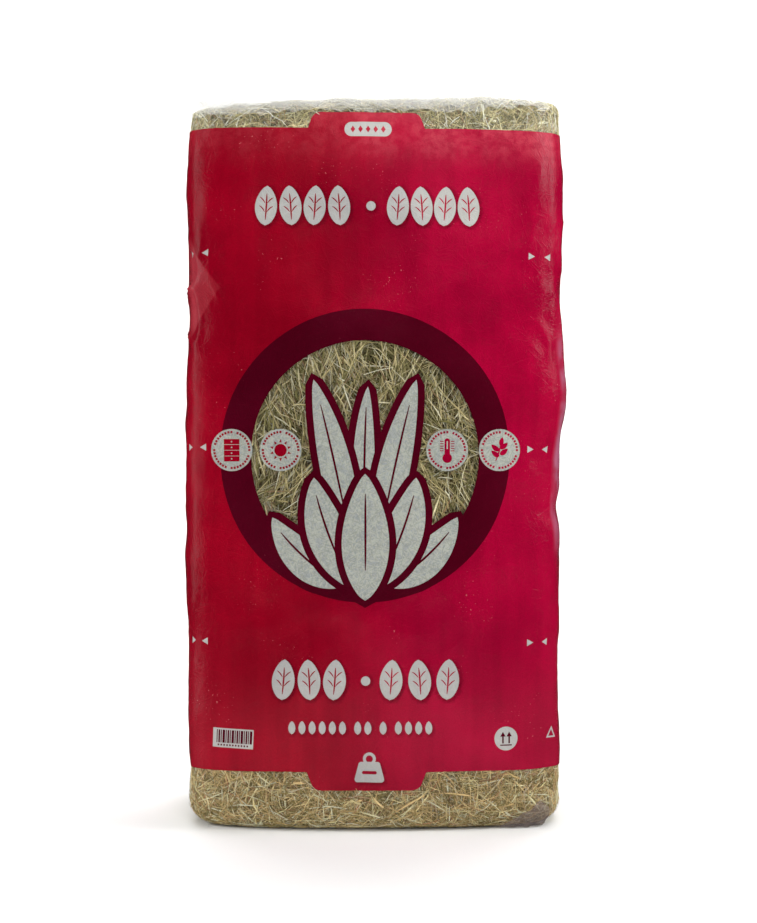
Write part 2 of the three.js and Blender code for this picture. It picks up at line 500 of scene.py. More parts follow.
def bar_label(x, y, turn):
    """A pale label with an even row of plain dark bars, stuck on a little askew."""
    bars, left = [], -0.0172
    for i in range(16):
        width = (0.0010, 0.0017, 0.0010, 0.0025)[i % 4]
        bars.append(bar(left + width / 2, 0.0016, width, 0.0132))
        left += width + (0.0007 if i % 2 else 0.0009)
    dashes = [bar(-0.0150 + i * 0.0030, -0.0072, 0.0016, 0.0017) for i in range(11)]
    layers = [("white", moved(bar(0, 0, 0.0420, 0.0196), x, y, turn))]
    return layers + [("dark", moved(shape, x, y, turn)) for shape in bars + dashes]


def upright_badge(x, y):
    """A small pale disc with two arrows that show which way is up."""
    head = polygon((-0.0028, 0), (0.0028, 0), (0, 0.0048))
    layers = [("white", circle(x, y, 0.0120)), ("dark", bar(x, y - 0.0066, 0.0120, 0.0012))]
    for side in (-0.0032, 0.0032):
        layers.append(("dark", moved(head, x + side, y + 0.0020)))
        layers.append(("dark", bar(x + side, y - 0.0014, 0.0016, 0.0070)))
    return layers


def plain_triangle(x, y):
    outer = polygon((-0.0068, -0.0056), (0.0068, -0.0056), (0, 0.0062))
    inner = polygon((-0.0040, -0.0040), (0.0040, -0.0040), (0, 0.0030))
    return [("white", moved(outer, x, y)), ("red", moved(inner, x, y))]


def print_layers():
    """All layers of the print on one broad face, from the lowest up."""
    layers = [("red", red_field())]
    layers += [("dark", circle(*RING_CENTRE, RING_RADIUS)), ("clear", window_outline())]
    layers += tuft()
    badges = ((-0.1378, slab_icon), (-0.0875, sun_icon), (0.0822, thermometer_icon),
              (0.1362, sprig_icon))
    for x, icon in badges:
        layers += badge(x, BADGES_UP, icon)
    for row in LEAF_ROWS:
        layers += leaf_row(*row)
    for place in DOTS:
        layers += dot(*place)
    layers += small_marks(0.1055) + weight_mark(0.0028, 0.0655)
    layers.append(("white", pill(0.0015, NAME_UP, 0.0484, 0.0151)))
    lozenge = polygon((-0.0024, 0), (0, -0.0036), (0.0024, 0), (0, 0.0036))
    for i in range(5):
        layers.append(("red", moved(lozenge, 0.0015 + (i - 2) * 0.0078, NAME_UP)))
    layers += cut_marks() + bar_label(-0.1365, 0.0935, math.radians(-2.5))
    layers += upright_badge(0.1425, 0.0930) + plain_triangle(0.1935, 0.0965)
    return layers


# ---------------------------------------------------------------- meshes

def mesh_object(name, points, faces):
    """An object from points and a list of face arrays, each array of one face size."""
    mesh = bpy.data.meshes.new(name)
    loops = np.concatenate([block.ravel() for block in faces])
    sizes = np.concatenate([np.full(len(block), block.shape[1]) for block in faces])
    mesh.vertices.add(len(points))
    mesh.vertices.foreach_set("co", np.asarray(points, np.float32).ravel())
    mesh.loops.add(len(loops))
    mesh.loops.foreach_set("vertex_index", loops.astype(np.int32))
    mesh.polygons.add(len(sizes))
    starts = np.concatenate([[0], np.cumsum(sizes)[:-1]])
    mesh.polygons.foreach_set("loop_start", starts.astype(np.int32))
    mesh.polygons.foreach_set("loop_total", sizes.astype(np.int32))
    mesh.polygons.foreach_set("use_smooth", np.ones(len(sizes), bool))
    mesh.update(calc_edges=True)
    mesh.validate()
    obj = bpy.data.objects.new(name, mesh)
    bpy.context.scene.collection.objects.link(obj)
    return obj


def set_values(obj, name, values):
    """A point attribute of single numbers or of vectors."""
    values = np.asarray(values, np.float32)
    kind, key = ("FLOAT", "value") if values.ndim == 1 else ("FLOAT_VECTOR", "vector")
    attribute = obj.data.attributes.new(name, kind, "POINT")
    attribute.data.foreach_set(key, values.ravel())


def set_unrolled(obj, places):
    """The places of a film's points along and up it, which its material reads."""
    set_values(obj, "unrolled", np.concatenate([places, np.zeros((len(places), 1))], 1))


def grid_quads(rows, columns):
    """Quads between the points of a grid that are numbered row by row."""
    i, j = np.meshgrid(np.arange(rows - 1), np.arange(columns - 1), indexing="ij")
    corner = (i * columns + j).ravel()
    return np.stack([corner, corner + 1, corner + columns + 1, corner + columns], 1)


def inside(points, shape):
    """Which points lie inside an outline."""
    low, high = shape.min(0), shape.max(0)
    near = np.flatnonzero(((points > low) & (points < high)).all(1))
    found = np.zeros(len(points), bool)
    if not len(near):
        return found
    x, y = points[near, 0], points[near, 1]
    odd = np.zeros(len(near), bool)
    for (x0, y0), (x1, y1) in zip(shape, np.roll(shape, -1, 0)):
        if y0 == y1:
            continue
        crosses = (y0 > y) != (y1 > y)
        odd ^= crosses & (x < (x1 - x0) * (y - y0) / (y1 - y0) + x0)
    found[near] = odd
    return found


# ---------------------------------------------------------------- film

GRID = 0.0038  # spacing of the points on the film's sides
END_GRID = 0.0042  # and on its end faces
OUTLINE_STEP = 0.0028  # longest side of an outline of the print
WELD_STEP = 2e-6  # points that are nearer than this are joined
CUT_TOLERANCE = 1e-7
INKS = ("clear", "red", "shade", "dark", "pale", "white")
BOTTOM_END, TOP_END = -1, -2  # in place of an ink, on the end faces


def grid_points():
    """Staggered rows of points over half the bale's girth, with both ends in every row."""
    edge = PERIMETER / 4
    rows = round((V_HIGH - V_LOW) / GRID)
    columns = round(2 * edge / GRID)
    points = []
    for row in range(rows + 1):
        v = V_LOW + (V_HIGH - V_LOW) * row / rows
        s = -edge + 2 * edge * (np.arange(columns + 1) + 0.5 * (row % 2)) / columns
        s = np.concatenate([[-edge], s[(s > -edge + 1e-6) & (s < edge - GRID / 4)], [edge]])
        points.append(np.stack([s, np.full(len(s), v)], 1))
    return np.concatenate(points)


def clear_of(points, outline_points, gap):
    """Grid points that aren't right beside an outline's points."""
    tree = kdtree.KDTree(len(outline_points))
    for i, (s, v) in enumerate(outline_points):
        tree.insert((s, v, 0), i)
    tree.balance()
    edge = PERIMETER / 4 - 1e-6
    keep = [abs(s) > edge or tree.find((s, v, 0))[2] > gap for s, v in points]
    return points[np.array(keep)]


def finer(shape):
    """An outline with its long sides divided."""
    out = []
    for start, end in zip(shape, np.roll(shape, -1, 0)):
        parts = max(1, math.ceil(np.linalg.norm(end - start) / OUTLINE_STEP))
        out.append(start + (end - start) * np.arange(parts)[:, None] / parts)
    return np.concatenate(out)


def printed_half():
    """One broad face of the tube in unrolled places: points, triangles and their inks."""
    layers = [(ink, finer(shape) + [AXIS_SHIFT, 0]) for ink, shape in print_layers()]
    outlines = np.concatenate([shape for _, shape in layers])
    points = clear_of(grid_points(), outlines, GRID * 0.3)
    edges, count = [], len(points)
    for _, shape in layers:
        indices = count + np.arange(len(shape))
        edges += list(zip(indices.tolist(), np.roll(indices, -1).tolist()))
        count += len(shape)
    everything = [Vector(p) for p in np.concatenate([points, outlines]).tolist()]
    places, _, triangles, *_ = delaunay_2d_cdt(everything, edges, [], 0, CUT_TOLERANCE)
    places, triangles = np.array(places), np.array(triangles)
    centres = places[triangles].mean(1)
    ink = np.zeros(len(triangles), int)
    for name, shape in layers:
        ink[inside(centres, shape)] = INKS.index(name)
    return places, triangles, ink


def joined_tube():
    """The whole tube: the printed half, and the same again round the back, welded."""
    places, triangles, ink = printed_half()
    both = np.concatenate([places, places + [HALF_TURN, 0]])
    faces = np.concatenate([triangles, triangles + len(places)])
    keys = np.stack([both[:, 0] % PERIMETER, both[:, 1]], 1) / WELD_STEP
    keys = np.round(keys).astype(np.int64)
    keys[:, 0] %= round(PERIMETER / WELD_STEP)
    _, first, which = np.unique(keys, axis=0, return_index=True, return_inverse=True)
    return both[first], which.ravel()[faces], np.concatenate([ink, ink])


def end_face(rim, height, sign):
    """Points and triangles that close one end of the tube, from its rim inwards."""
    plan = rim[:, :2]
    low, high = plan.min(0), plan.max(0)
    grid = []
    for i, y in enumerate(np.arange(low[1], high[1], END_GRID)):
        x = np.arange(low[0], high[0], END_GRID) + (i % 2) * END_GRID / 2
        grid.append(np.stack([x, np.full(len(x), y)], 1))
    grid = np.concatenate(grid)
    grid = grid[inside(grid, plan * (1 - 0.6 * END_GRID / HALF_DEPTH))]
    everything = [Vector(p) for p in np.concatenate([plan, grid]).tolist()]
    loop = [(i, (i + 1) % len(plan)) for i in range(len(plan))]
    _, _, triangles, *_ = delaunay_2d_cdt(everything, loop, [], 1, CUT_TOLERANCE)
    triangles = np.array(triangles)[:, ::sign]
    return np.concatenate([grid, np.full((len(grid), 1), height)], 1), triangles


CREASE, TUCK, PUCKER, WELD_RIDGE = 0.0010, 0.0007, 0.0005, 0.0024  # heights in an end face


def end_creases(p, top):
    """Height of the folds in an end face: creases from its corners to the weld, and puckers."""
    x, y = abs(p[..., 0]), abs(p[..., 1])
    run, reach = HALF_DEPTH - TOP_RADIUS, HALF_WIDTH - TOP_RADIUS
    diagonal = abs((reach - x) - (run - y)) / math.sqrt(2)
    crease = np.exp(-(diagonal / 0.0022) ** 2) * smoothstep(y, 0.004, 0.03)
    tucked = smoothstep((run - y) - (reach - x), -0.001, 0.001)
    fan = np.arctan2(y, np.maximum(reach - x, 1e-4))
    puckers = np.sin(fan * 22 + 3 * np.sin(x * 60)) * np.exp(-y / 0.05)
    ease = smoothstep(reach - x, 0.004, 0.02) * smoothstep(run - y, 0.004, 0.02)
    height = CREASE * crease + TUCK * tucked + PUCKER * puckers
    if top:
        height += WELD_RIDGE * np.exp(-(y / 0.010) ** 2) * smoothstep(reach - x, 0.0, 0.02)
    return height * ease


def build_film():
    """The bag's film: printed pieces by ink, the windows, and both clear ends."""
    places, faces, ink = joined_tube()
    smooth = film_surface(places[:, 0], places[:, 1])
    points = laid(smooth, 0.0)
    parts = {"points": [points], "places": [places], "faces": [faces], "ink": [ink]}
    count = len(points)
    for v, height, sign in ((V_LOW, 0.0, -1), (V_HIGH, FILM_HEIGHT, 1)):
        on_rim = np.flatnonzero(abs(places[:, 1] - v) < 1e-6)
        on_rim = on_rim[np.argsort(places[on_rim, 0] % PERIMETER)]
        grid, triangles = end_face(points[on_rim], height, sign)
        if sign < 0:
            grid[:, 2] = np.maximum(grid[:, 2] + 0.4 * end_creases(grid, False), 0.0)
        else:
            grid[:, 2] += film_swell(grid) + end_creases(grid, True)
        index = np.concatenate([on_rim, count + np.arange(len(grid))])
        parts["points"].append(grid)
        parts["places"].append(grid[:, :2] + [0, v])
        parts["faces"].append(index[triangles])
        parts["ink"].append(np.full(len(triangles), BOTTOM_END if sign < 0 else TOP_END))
        count += len(grid)
    return {key: np.concatenate(value) for key, value in parts.items()}


def vertex_normals(points, faces):
    a, b, c = (points[faces[:, i]] for i in range(3))
    across = np.cross(b - a, c - a)
    normals = np.zeros_like(points)
    for i in range(3):
        np.add.at(normals, faces[:, i], across)
    return unit(normals)


def cut_piece(film, normals, chosen, name):
    """One piece of the film, keeping the whole film's normals along its cut edges."""
    used, local = np.unique(film["faces"][chosen], return_inverse=True)
    piece = mesh_object(name, film["points"][used], [local.reshape(-1, 3)])
    piece.data.normals_split_custom_set_from_vertices(normals[used].tolist())
    set_unrolled(piece, film["places"][used])
    return piece, used


def film_pieces():
    """The film's pieces by name. The red one also knows where the print's soft shade lies."""
    film = build_film()
    normals = vertex_normals(film["points"], film["faces"])
    ink, v = film["ink"], film["places"][film["faces"], 1].mean(1)
    clear, red, shaded, dark, pale, white = (ink == i for i in range(len(INKS)))
    middle = (v > RED_LOW) & (v < RED_HIGH)
    lower = v < RED_HIGH / 2
    shade, weight = np.zeros((2, len(film["points"])))
    for i in range(3):
        np.add.at(shade, film["faces"][shaded, i], 1.0)
        np.add.at(weight, film["faces"][ink > 0, i], 1.0)
    shade /= np.maximum(weight, 1)
    choices = {
        "printed_film_red": red | shaded,
        "printed_film_maroon": dark,
        "printed_film_pale": pale,
        "printed_film_white": white,
        "window_film": clear & middle,
        "bottom_clear_film": (clear & ~middle & lower) | (ink == BOTTOM_END),
        "top_clear_film": (clear & ~middle & ~lower) | (ink == TOP_END),
    }
    pieces = {}
    for name, chosen in choices.items():
        pieces[name], used = cut_piece(film, normals, chosen, name)
        if name == "printed_film_red":
            set_values(pieces[name], "shade", shade[used])
    return pieces


# ---------------------------------------------------------------- welds and folds

def strip(name, line, up, rows, wave):
    """A welded strip: a line of points raised along a direction, with waves that grow."""
    height = np.linspace(0, 1, rows)
    grid = line[None] + up[None, None] * height[:, None, None]
    grid = grid + wave[None] * (height ** 1.3)[:, None, None]
    piece = mesh_object(name, grid.reshape(-1, 3), [grid_quads(rows, len(line))])
    raised = np.repeat(height * np.linalg.norm(up), len(line))
    set_unrolled(piece, np.stack([np.tile(line[:, 0], rows), raised], 1))
    return piece


def top_fin():
    """The upper weld: a double strip of film that stands on the bag and leans back."""
    low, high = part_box("top_weld_fin")
    x = np.linspace(low.x, high.x, 240)
    foot = np.stack([x, np.full_like(x, low.y + 0.001), np.full_like(x, low.z + 0.0014)], 1)
    up = np.array([0, high.y - low.y - 0.002, high.z - low.z - 0.0016])
    wave = np.zeros((len(x), 3))
    wave[:, 1] = 0.0022 * MIDDLE(foot) + 0.0016 * SMALL(foot) - 0.001
    wave[:, 2] = -0.0007 - 0.0007 * BROAD(foot * 3)
    return strip("top_fin", foot, up, 9, wave)


def bottom_fin():
    """The lower weld: folded flat under the bale, flush with the resting face."""
    low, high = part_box("bottom_weld_fin")
    x = np.linspace(low.x, high.x, 160)
    foot = np.stack([x, np.full_like(x, low.y), np.full_like(x, 0.0003)], 1)
    up = np.array([0, high.y - low.y, 0.0])
    wave = np.zeros((len(x), 3))
    wave[:, 1] = 0.0008 * SMALL(foot)
    return strip("bottom_fin", foot, up, 7, wave)


def gusset_folds(name, height, inset, sign):
    """The two triangles of tucked film that lie under an end face, as a second layer."""
    run, reach = HALF_DEPTH - inset, HALF_WIDTH - inset
    rows, columns = 27, 53
    points, faces = [], []
    for side in (-1, 1):
        inward = np.linspace(0, 1, rows)[:, None]
        across = np.broadcast_to(side * (reach - run * inward), (rows, columns))
        back = run * (1 - inward) * 0.97 * np.linspace(-1, 1, columns)
        grid = np.stack([across, back, np.full((rows, columns), height)], -1)
        grid[..., 2] = np.maximum(grid[..., 2] + sign * 0.0004 * SMALL(grid), 0.0003)
        quads = len(points) * rows * columns + grid_quads(rows, columns)
        faces.append(quads[:, ::-side * sign])
        points.append(grid.reshape(-1, 3))
    piece = mesh_object(name, np.concatenate(points), faces)
    set_unrolled(piece, np.concatenate(points)[:, :2])
    return piece


def slack_corner():
    """A loose, crumpled fold of film that stands off the foot of the front right corner."""
    columns, rows = 72, 44
    low, high, rise = 0.135, 0.193, 0.027  # along the film's two lengths
    along = np.tile(np.linspace(0, 1, columns), rows)
    up = np.repeat(np.linspace(0, 1, rows), columns)
    around = np.maximum(np.sin(math.pi * along ** 1.4), 0)
    ragged = 1 + 0.12 * np.sin(9 * along + 1) + 0.05 * np.sin(23 * along)
    v = V_LOW * 0.2 + up * rise * np.maximum(around, 0.02) ** 0.8 * ragged
    s = low + (high - low) * along
    smooth = film_surface(s, v)
    crumple = 0.5 + 0.22 * SMALL(smooth * 1.6) + 0.18 * LUMPS(smooth * 1.2)
    crumple += 0.2 * PLEATS(smooth * 3)
    off = 0.0008 + 0.0110 * around ** 0.7 * (1 - up) ** 0.8 * np.clip(crumple, 0.12, 1.2)
    points = laid(smooth, -off)
    points[:, 2] = np.maximum(points[:, 2] - 0.006 * (1 - up) * around, 0.0012)
    piece = mesh_object("slack_corner_film", points, [grid_quads(rows, columns)])
    set_unrolled(piece, np.stack([s, v], 1))
    return piece


FOLD_EDGES = (0.7445, 0.7410, 0.7375, 0.7340, 0.7300)  # lower edges of the folds, along the film


def top_edge_film():
    """Loose film in overlapping folds along the front's upper edge, lower at the left."""
    columns, rows = 150, 8
    s = np.tile(np.linspace(-0.190, 0.186, columns), rows)
    up = np.repeat(np.linspace(0, 1, rows), columns)
    sag = 0.0045 * smoothstep(-s, 0.03, 0.16) - 0.0060 * smoothstep(s, 0.07, 0.17)
    points, places = [], []
    for fold, low in enumerate(FOLD_EDGES):
        ragged = sum(size * np.sin(wave * s + 2.3 * fold * fold)
                     for wave, size in ((61, 0.0010), (173, 0.0010), (390, 0.0009)))
        low_edge = np.minimum(low - sag + ragged, V_HIGH - 0.0040)
        v = low_edge + (V_HIGH - 0.0018 * fold - low_edge) * up
        smooth = film_surface(s, v)
        points.append(laid(smooth, -0.0006 * (fold + 1) - 0.0004 * (1 + PLEATS(smooth))))
        places.append(np.stack([s, v], 1))
    faces = [grid_quads(rows, columns) + fold * s.size for fold in range(len(FOLD_EDGES))]
    piece = mesh_object("top_edge_film", np.concatenate(points), faces)
    set_unrolled(piece, np.concatenate(places))
    return piece


# ---------------------------------------------------------------- hay

BLOCK_DEPTH = 0.0048  # of the pressed mass under the film
STALK_DEPTH = 0.0042  # over which the loose stalks outside it are spread
STALK_RINGS = 3
STALK_SIDES = 3
BROAD_ABOVE, FINE_BELOW = 0.965, 0.62  # draws that make a stalk a broad blade or a fine one
KINKED_SHARE = 0.09
SLACK = 0.0065  # how far the hay drops below the film at the top left


def hay_drop(p):
    """How much deeper the hay lies under the film where the bag is slack."""
    left = smoothstep(-p[..., 0], 0.00, 0.17)
    front = smoothstep(-p[..., 1], -0.10, 0.08)
    return SLACK * left * front * smoothstep(outward(p)[..., 2], 0.15, 0.9)


def hay_block(index):
    """One pressed portion: a rough mass that follows the film and meets its neighbours flat."""
    low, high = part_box(f"hay_portion_{index + 1}")
    v_low = V_LOW if index == 0 else low.z
    v_high = V_HIGH if index == PORTIONS - 1 else high.z
    around, rows, inward = 180, 40, 10
    s = np.tile(np.arange(around) / around * PERIMETER, rows)
    v = np.repeat(np.linspace(v_low, v_high, rows), around)
    sides = film_surface(s, v).reshape(rows, around, 3)
    shrink = np.linspace(0, 1, inward)[1:-1, None, None]
    lower, upper = (rim * [1, 1, 0] * shrink + rim * [0, 0, 1] for rim in (sides[0], sides[-1]))
    rings = np.concatenate([lower, sides, upper[::-1]])
    hubs = rings[[0, -1]].mean(1)
    smooth = np.concatenate([rings.reshape(-1, 3), hubs])
    rough = 0.0011 * LUMPS(smooth) + 0.0009 * SMALL(smooth * 1.7)
    points = laid(smooth, BLOCK_DEPTH + hay_drop(smooth) + rough)
    if index > 0:
        points[smooth[:, 2] <= v_low + 1e-6, 2] = v_low
    if index < PORTIONS - 1:
        points[smooth[:, 2] >= v_high - 1e-6, 2] = v_high
    i, j = np.meshgrid(np.arange(len(rings) - 1), np.arange(around), indexing="ij")
    here, beside = (i * around + j).ravel(), (i * around + (j + 1) % around).ravel()
    quads = np.stack([here, beside, beside + around, here + around], 1)
    k, last = np.arange(around), (len(rings) - 1) * around
    hub = len(smooth) - 2
    bottom = np.stack([np.full(around, hub), (k + 1) % around, k], 1)
    top = np.stack([np.full(around, hub + 1), last + k, last + (k + 1) % around], 1)
    return mesh_object(f"pressed_hay_{index + 1}", points, [quads, bottom, top])


def stalk_lines(rng, starts, length, lead, spread):
    """Bent centre lines on the smooth film: points by stalk and by ring."""
    count = len(starts)
    normal = outward(starts)
    ahead = lead(starts)
    ahead = unit(ahead - normal * np.sum(ahead * normal, 1, keepdims=True))
    aside = np.cross(normal, ahead)
    heading = rng.uniform(-spread / 2, spread / 2, count)
    bend = rng.normal(0, 0.16, count)
    kinked = rng.random(count) < KINKED_SHARE
    kink = np.where(kinked, rng.choice([-1, 1], count) * rng.uniform(0.4, 1.3, count), 0)
    flat = np.zeros((count, STALK_RINGS, 2))
    for ring in range(1, STALK_RINGS):
        angle = heading + bend * (ring - 1.5) + np.where(ring == STALK_RINGS - 1, kink, 0)
        step = np.stack([np.cos(angle), np.sin(angle)], 1) * (length / (STALK_RINGS - 1))[:, None]
        flat[:, ring] = flat[:, ring - 1] + step
    flat -= flat.mean(1, keepdims=True)
    return settle(starts[:, None] + ahead[:, None] * flat[..., :1] + aside[:, None] * flat[..., 1:])


def stalk_faces(count):
    """Quads and end triangles of closed three-sided strips."""
    base = (np.arange(count) * STALK_RINGS * STALK_SIDES)[:, None, None]
    ring = (np.arange(STALK_RINGS - 1) * STALK_SIDES)[None, :, None]
    corner = np.arange(STALK_SIDES)[None, None]
    here, beside = base + ring + corner, base + ring + (corner + 1) % STALK_SIDES
    quads = np.stack([here, here + STALK_SIDES, beside + STALK_SIDES, beside], -1).reshape(-1, 4)
    first = base[:, 0] + [0, 1, 2]
    last = base[:, 0] + (STALK_RINGS - 1) * STALK_SIDES + [2, 1, 0]
    return [quads, np.concatenate([first, last])]


def stalks(name, starts, seed, lead, spread=math.pi, stretch=1.0):
    """Chopped stalks and blades as closed three-sided strips, laid just under the film."""
    rng = np.random.default_rng(seed)
    count = len(starts)
    kind = rng.random(count)
    broad, fine = kind > BROAD_ABOVE, kind < FINE_BELOW
    length = (0.006 + 0.034 * rng.random(count) ** 1.5) * stretch
    width = np.where(fine, rng.uniform(0.0006, 0.0010, count), rng.uniform(0.0010, 0.0016, count))
    width = np.where(broad, rng.uniform(0.0018, 0.0030, count), width)
    thick = np.where(broad, 0.0004, width * 0.5)
    roll = np.where(broad, rng.normal(0, 0.12, count), rng.normal(0, 0.30, count))
    layer = rng.random(count) ** 0.85
    shallow = 0.0004 + thick + width / 2 * abs(np.sin(roll))
    tilt = rng.normal(0, 0.0009, count)[:, None] * np.linspace(-1, 1, STALK_RINGS)
    depth = np.maximum((shallow + layer * STALK_DEPTH)[:, None] + tilt, shallow[:, None])

    on_film = stalk_lines(rng, starts, length, lead, spread)
    out = outward(on_film)
    line = laid(on_film, depth + hay_drop(on_film))
    along = unit(np.gradient(line, axis=1))
    turn = roll[:, None, None]
    side = np.cross(out, along) * np.cos(turn) + out * np.sin(turn)
    rise = np.cross(along, side)
    taper = np.ones((count, STALK_RINGS))
    taper[:, 0] = rng.uniform(0.4, 1.0, count)
    taper[:, -1] = np.where(broad, 0.2, rng.uniform(0.3, 0.9, count))
    half = (width[:, None] * taper / 2)[..., None]
    height = (thick[:, None] * taper)[..., None]
    section = np.stack([line - side * half, line + rise * height, line + side * half], 2)
    section[..., 2] = np.maximum(section[..., 2], 0.0006)

    piece = mesh_object(name, section.reshape(-1, 3), stalk_faces(count))
    each = STALK_RINGS * STALK_SIDES
    set_values(piece, "tone", np.repeat(rng.random(count), each))
    set_values(piece, "layer", np.repeat(layer, each))
    grain = np.zeros((count, STALK_RINGS, STALK_SIDES, 3))
    grain[..., 0] = (np.linspace(-0.5, 0.5, STALK_RINGS) * length[:, None])[..., None]
    grain[..., 1] = (np.arange(STALK_SIDES) * 0.5)[None, None] * width[:, None, None]
    grain[..., 2] = rng.uniform(0, 5, count)[:, None, None]
    set_values(piece, "grain", grain.reshape(-1, 3))
    return piece


def scatter_tube(rng, count, v_low, v_high, s_low, s_high):
    """Random points on the smooth film between two lengths v and two lengths s."""
    return film_surface(rng.uniform(s_low, s_high, count), rng.uniform(v_low, v_high, count))


def scatter_end(rng, count, height):
    """Random points on an end face."""
    reach = np.array([HALF_WIDTH, HALF_DEPTH])
    p = rng.uniform(-reach, reach, (count * 2, 2))
    p = p[np.sum(abs(p / reach) ** SQUARENESS, 1) < 0.82][:count]
    return np.concatenate([p, np.full((len(p), 1), height)], 1)


def scatter_windows(rng, count):
    """Random points behind both windows, reaching a little past their edge."""
    x, y = RING_CENTRE
    radius = (WINDOW_RADIUS + 0.008) * np.sqrt(rng.random(count))
    angle = rng.uniform(0, 2 * math.pi, count)
    s = AXIS_SHIFT + x + radius * np.cos(angle) + np.where(rng.random(count) < 0.5, 0, HALF_TURN)
    v = y + radius * np.sin(angle)
    keep = v > y - 0.088
    return film_surface(s[keep], v[keep])


def wandering_lead(seed, upright=1.0):
    """Leading directions that wander over the bale, more upright where asked."""
    fields = [ripples(seed + i, 0.11) for i in range(3)]
    return lambda p: np.stack([field(p) for field in fields], -1) * [1, 1, upright]


def hay_pieces():
    """The pressed portions and the loose stalks, by the place where they lie."""
    blocks = [hay_block(index) for index in range(PORTIONS)]
    rng = np.random.default_rng(31)
    top_low, bottom_high = RED_HIGH - 0.012, RED_LOW + 0.010
    quarter = PERIMETER / 4
    top, foot = [], []
    counts = (("front", 8000, 9600), ("back", 5200, 6600))
    for i, (side, top_count, foot_count) in enumerate(counts):
        s = (i * HALF_TURN - quarter, i * HALF_TURN + quarter)
        places = scatter_tube(rng, top_count, top_low, V_HIGH, *s)
        top.append(stalks(f"top_{side}_stalks", places, 41 + i, wandering_lead(51)))
        places = scatter_tube(rng, foot_count, V_LOW, bottom_high, *s)
        foot.append(stalks(f"bottom_{side}_stalks", places, 43 + i, wandering_lead(53)))
    places = scatter_end(rng, 5000, FILM_HEIGHT)
    top.append(stalks("top_face_stalks", places, 45, wandering_lead(55), stretch=1.3))
    places = scatter_end(rng, 2400, 0.0)
    foot.append(stalks("bottom_face_stalks", places, 46, wandering_lead(56), stretch=1.3))
    places, lead = scatter_windows(rng, 12000), wandering_lead(57, upright=4)
    window = [stalks("window_stalks", places, 47, lead, spread=1.7, stretch=1.35)]
    return {"blocks": blocks, "top": top, "foot": foot, "window": window}


# ---------------------------------------------------------------- materials

def linear(red, green, blue):
    """Linear colour from values as a picture shows them, 0 to 255."""
    channels = [c / 255 for c in (red, green, blue)]
    return tuple(c / 12.92 if c <= 0.04045 else ((c + 0.055) / 1.055) ** 2.4 for c in channels)


